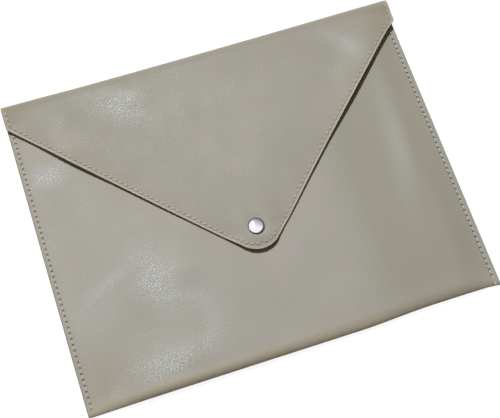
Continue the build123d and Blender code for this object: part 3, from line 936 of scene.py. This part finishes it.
def leatherPaint(name, finish):
    paint = newPaint(name)
    rest = paint.attribute("rest")
    run, off, edge = paint.parts(paint.attribute("seam"))
    wornAndGlint, fold, glow = paint.parts(paint.attribute("wearAndLight"))
    paintedShade, warmToneAndShade, pale = paint.parts(paint.attribute("tone"))
    broad = paint.noise(rest, 14.0, 2.0)
    cloud = paint.noise(rest, 60.0, 3.0)
    mottle = paint.noise(rest, 48.0, 2.0)
    fine = paint.noise(rest, 2600.0, 2.0, 0.6)
    cells = paint.node(
        "ShaderNodeTexVoronoi", {"feature": "DISTANCE_TO_EDGE"},
        {"Vector": rest, "Scale": 540.0, "Randomness": 1.0}, "Distance")
    # needle holes lie between the stitches, or under them along the mouth; their darkness is painted shade
    step = run.math("FRACT")
    gap = step.math("MINIMUM", 1.0 - step) * pitch
    hole = (gap * gap + off * off).math("SQRT").ramp(0.48, 1.18, 1.0, 0.0)
    line = off.math("ABSOLUTE").ramp(0.3, 1.5, 1.0, 0.0)
    inside = edge.ramp(200.0, 210.0)
    # a painted band along the cut edge: shade on the body, a highlight on the flap that also lightens the
    # stitches' shadow
    rim = edge.ramp(*finish["rimReach"], 1.0, 0.0)
    # painted shade: the lower part of the cut rim is painted near black, as the shade under the edge
    cut = edge.ramp(-0.95, -0.35, 1.0, 0.0)
    # worn spots are shinier, and their grainy glints are painted into the colour
    rubbedAndGlint = wornAndGlint * paint.noise(rest, 130.0, 2.0).ramp(0.3, 0.62, 0.25, 1.0)
    pebble = cells.ramp(0.06, 0.30)
    tinted = {key: rgb(*[a * b for a, b in zip(finish["lightAndShadeTint"], tint)]) for key, tint in tintedLeather.items()}
    # each layer covers the ones before it by its factor
    colour = paint.mix(broad.ramp(0.35, 0.65), tinted["deep"], tinted["light"])
    layers = [
        (mottle.ramp(0.5, 0.75) * 0.5, tinted["rosy"]),
        (mottle.ramp(0.5, 0.25) * 0.5, tinted["olive"]),
        # painted shade
        (paintedShade, tinted["paintedShade"]),
        # warm tones, with brown painted shade in places
        (warmToneAndShade * 0.8, tinted["warmToneAndShade"]),
        # painted highlights and sheen
        (pale, leatherColour["pale"]),
        (cells.ramp(0.0, 0.12, 1.0, 0.0) * 0.10, leatherColour["crease"]),
        # painted glints on the worn spots: pale bluish grain tops and darker grain between
        (rubbedAndGlint * pebble * 0.58, leatherColour["paintedGlint"]),
        (rubbedAndGlint * (1.0 - pebble) * 0.42, leatherColour["paintedGlintDark"]),
        # painted shade in the top fold
        (fold * 0.35, leatherColour["fold"]),
        # painted light on the bottom roll and round the snap
        (glow * 0.5, finish["glow"]),
        # painted shade along the sunk seam line
        (line * (finish["hole"] * 0.16), leatherColour["line"]),
        # painted shade along the body's edges, a painted highlight along the flap's border
        (rim * 0.6, finish["rim"]),
        # painted shade on the lower cut rim
        (cut * finish["cut"], leatherColour["cut"]),
        # painted shade in the needle holes, less where the painted light glows
        (hole * finish["hole"] * (1.0 - glow * 0.7), leatherColour["hole"]),
        (inside, weave(paint)[0]),
    ]
    for factor, cover in layers:
        colour = paint.mix(factor, colour, cover)
    grain = (cells.ramp(0.0, 0.22) * 0.6 + fine * 0.45) * (1.0 + rubbedAndGlint * 2.2)
    normal = paint.bump(grain, 0.30, 0.00030)
    normal = paint.bump(hole * -(0.25 + finish["hole"]), 0.8, 0.0006, Normal=normal)
    paint.set(
        Base_Color=colour, Roughness=0.58 + fine * 0.06 + (hole + fold) * 0.2, Normal=normal,
        Specular_IOR_Level=0.34, Specular_Tint=leatherColour["sheen"])
    # a second, smoother finish shows through it in part
    gloss = (cloud.ramp(0.25, 0.75, 0.0, 0.08) + rubbedAndGlint * 0.7) * (1.0 - fold)
    return paint.blend(
        gloss, Base_Color=colour, Roughness=0.25 + fine * 0.05, Normal=normal,
        Specular_Tint=leatherColour["sheen"])


def liningPaint(name):
    paint = newPaint(name)
    colour, height, slub = weave(paint)
    return paint.set(Base_Color=colour, Roughness=0.85 - slub * 0.1, Normal=paint.bump(height, 0.5, 0.0002))


# thread: colour in the grooves of its twist, on its plies, and where it is faded
sideFinish = {"low": rgb(0.42, 0.405, 0.35), "high": rgb(0.64, 0.622, 0.555), "faded": rgb(0.34, 0.325, 0.28)}
edgeFinish = {
    "low": rgb(0.42, 0.402, 0.344), "high": rgb(0.56, 0.535, 0.465), "faded": rgb(0.37, 0.353, 0.302),
}


def threadPaint(name, finish):
    paint = newPaint(name)
    length, angle, fade = paint.parts(paint.attribute("twist"))
    ply = (length * 7.0 + angle * 2.0).math("SINE") * 0.5 + 0.5
    colour = paint.mix(fade, paint.mix(ply, finish["low"], finish["high"]), finish["faded"])
    return paint.set(Base_Color=colour, Roughness=0.62 + ply * 0.1, Normal=paint.bump(ply, 0.5, 0.00015))


def metalColour(paint, haze, tone, hazed):
    return paint.mix(haze.ramp(0.4, 0.7) * 0.3, rgb(*tone), rgb(*hazed))


def nickelPaint(name, tone, rough):
    paint = newPaint(name)
    place = paint.node("ShaderNodeTexCoord", {}, {}, "Object")
    haze = paint.noise(place, 900.0, 3.0)
    colour = metalColour(paint, haze, tone, [0.88 * part for part in tone])
    return paint.set(Base_Color=colour, Metallic=1.0, Roughness=rough + haze * 0.05)


capFinish = {
    "tone": (0.90, 0.89, 0.91), "hazed": (0.80, 0.79, 0.81), "rimShade": rgb(0.05, 0.046, 0.042),
    "ringX": -0.00085, "ringY": -0.0005, "ringStart": 0.0051, "ringEnd": 0.0056,
}


def capPaint(name):
    # polished on top, with a dark non-metal ring painted where the rim meets the leather, as painted shade
    # and dark reflection
    paint = newPaint(name)
    rest = paint.attribute("rest")
    x, y = paint.parts(rest)[:2]
    haze = paint.noise(rest, 900.0, 3.0)
    u = x - capFinish["ringX"]
    v = y - (snapY * mm + capFinish["ringY"])
    rimShade = (u * u + v * v).math("SQRT").ramp(capFinish["ringStart"], capFinish["ringEnd"])
    colour = metalColour(paint, haze, capFinish["tone"], capFinish["hazed"])
    colour = paint.mix(rimShade * 0.94, colour, capFinish["rimShade"])
    return paint.set(
        Base_Color=colour, Metallic=1.0 - rimShade, Roughness=0.05 + haze * 0.03 + rimShade * 0.5,
        Specular_IOR_Level=0.1)


def wear(obj, material):
    obj.data.materials.clear()
    obj.data.materials.append(material)


wear(body, leatherPaint("bodyLeather", bodyFinish))
wear(flap, leatherPaint("flapLeather", flapFinish))
liningCloth = liningPaint("liningCloth")
for obj in (flapLining, frontLining, backLining):
    wear(obj, liningCloth)
sideThread = threadPaint("sideThread", sideFinish)
edgeThread = threadPaint("edgeThread", edgeFinish)
for obj in threads:
    wear(obj, edgeThread if obj.name == "flapThread" else sideThread)
wear(snapCap, capPaint("capNickel"))
nickel = nickelPaint("polishedNickel", (0.80, 0.80, 0.81), 0.10)
for node in ("snap_stud", "snap_post", "snap_socket"):
    wear(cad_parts[node], nickel)
wear(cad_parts["socket_spring"], nickelPaint("springSteel", (0.55, 0.55, 0.56), 0.28))
print("stage: materials")


# floor, light and camera

# a floor that the camera sees as white, and that lights the wallet as a pale floor does
floorForm = {"half": 3000.0, "height": -0.2}
corners = [(-1, -1), (1, -1), (1, 1), (-1, 1)]
floorHalf = floorForm["half"]
floorVerts = np.array([(floorHalf * u, floorHalf * v, floorForm["height"]) for u, v in corners])
floor = makeObject("floor", floorVerts, [[0, 1, 2, 3]], {})
paint = newPaint("paleFloor")
seen = paint.node("ShaderNodeLightPath", {}, {}, "Is Camera Ray")
glow = paint.mix(seen, rgb(0.0, 0.0, 0.0), rgb(0.90, 0.90, 0.90))
pale = paint.mix(seen, rgb(0.92, 0.92, 0.92), rgb(0.14, 0.14, 0.14))
wear(floor, paint.set(Base_Color=pale, Roughness=0.9, Emission_Color=glow, Emission_Strength=1.0))

# a soft world, dimmer low on the right; shiny things see a white one with a dark far end
world = bpy.data.worlds.new("studio")
bpy.context.scene.world = world
sky = Paint(world, "Background")
glossy = sky.node("ShaderNodeLightPath", {}, {}, "Is Glossy Ray")
seen = sky.node("ShaderNodeLightPath", {}, {}, "Is Camera Ray")
x, y = sky.parts(sky.node("ShaderNodeTexCoord", {}, {}, "Generated"))[:2]
slant = x * 0.6 + y * 0.8
bright = sky.mix(slant.ramp(0.15, 0.55), rgb(1.0, 1.0, 1.0), rgb(0.58, 0.56, 0.62))
bright = sky.mix(slant.ramp(0.55, 0.95), bright, rgb(0.10, 0.09, 0.08))
dim = (x * 0.88 - y * 0.47).ramp(0.35, 0.85)
soft = sky.mix(dim, rgb(0.195, 0.152, 0.087), rgb(0.05, 0.036, 0.015))
sky.set(Color=sky.mix((glossy + seen).math("MINIMUM", 1.0), soft, bright))

# lamps, in metres and watts
lamps = {
    "key": {
        "place": (-0.36, 2.64, 3.86), "aim": (0.0, 0.0, 0.0), "size": (0.2, 0.2), "power": 238.0,
        "tint": (1.0, 1.0, 1.0),
    },
    "window": {
        "place": (-0.19, 0.33, 1.20), "aim": (-0.05, 0.0, 0.0), "size": (0.12, 0.36), "power": 2.4,
        "tint": (0.92, 0.96, 1.0),
    },
}


def turnObject(obj, right, up, back, at):
    # turns an object that looks along its own minus z
    obj.matrix_world = [(*right, 0), (*up, 0), (*back, 0), (*at, 1)]


def areaLight(name):
    lamp = lamps[name]
    data = bpy.data.lights.new(name, "AREA")
    data.shape = "RECTANGLE"
    data.size, data.size_y = lamp["size"]
    data.energy = lamp["power"]
    data.color = lamp["tint"]
    obj = addObject(name, data)
    back = unit(np.array(lamp["place"]) - np.array(lamp["aim"]))
    right = unit(np.cross(np.array([0.0, 1.0, 0.0]), back))
    turnObject(obj, right, np.cross(back, right), back, lamp["place"])
    return obj


areaLight("key")
window = areaLight("window")
window.visible_diffuse = False  # only adds its shine

bpy.context.scene.view_settings.view_transform = "Standard"

# camera: degrees, millimetres, and a focal length in pixels of a picture of this width
shot = {
    "azimuth": -110.148, "elevation": 70.596, "roll": 2.095, "distance": 873.1, "target": (0.75, -11.1, 0.0),
    "focal": 1121.9, "pictureWidth": 500.0, "sensorWidth": 36.0, "clip": (0.01, 20.0),
}


def makeCamera():
    azimuth, elevation, roll = (math.radians(shot[key]) for key in ("azimuth", "elevation", "roll"))
    level = math.cos(elevation)
    back = np.array([level * math.cos(azimuth), level * math.sin(azimuth), math.sin(elevation)])
    right = unit(np.cross(-back, np.array([0.0, 0.0, 1.0])))
    up = np.cross(right, -back)
    rolledRight = right * math.cos(roll) + up * math.sin(roll)
    rolledUp = up * math.cos(roll) - right * math.sin(roll)
    data = bpy.data.cameras.new("camera")
    data.sensor_width = shot["sensorWidth"]
    data.lens = shot["focal"] / shot["pictureWidth"] * shot["sensorWidth"]
    data.clip_start, data.clip_end = shot["clip"]
    obj = addObject("camera", data)
    turnObject(obj, rolledRight, rolledUp, back, (np.array(shot["target"]) + back * shot["distance"]) * mm)
    return obj


bpy.context.scene.camera = makeCamera()
print("stage: scene")
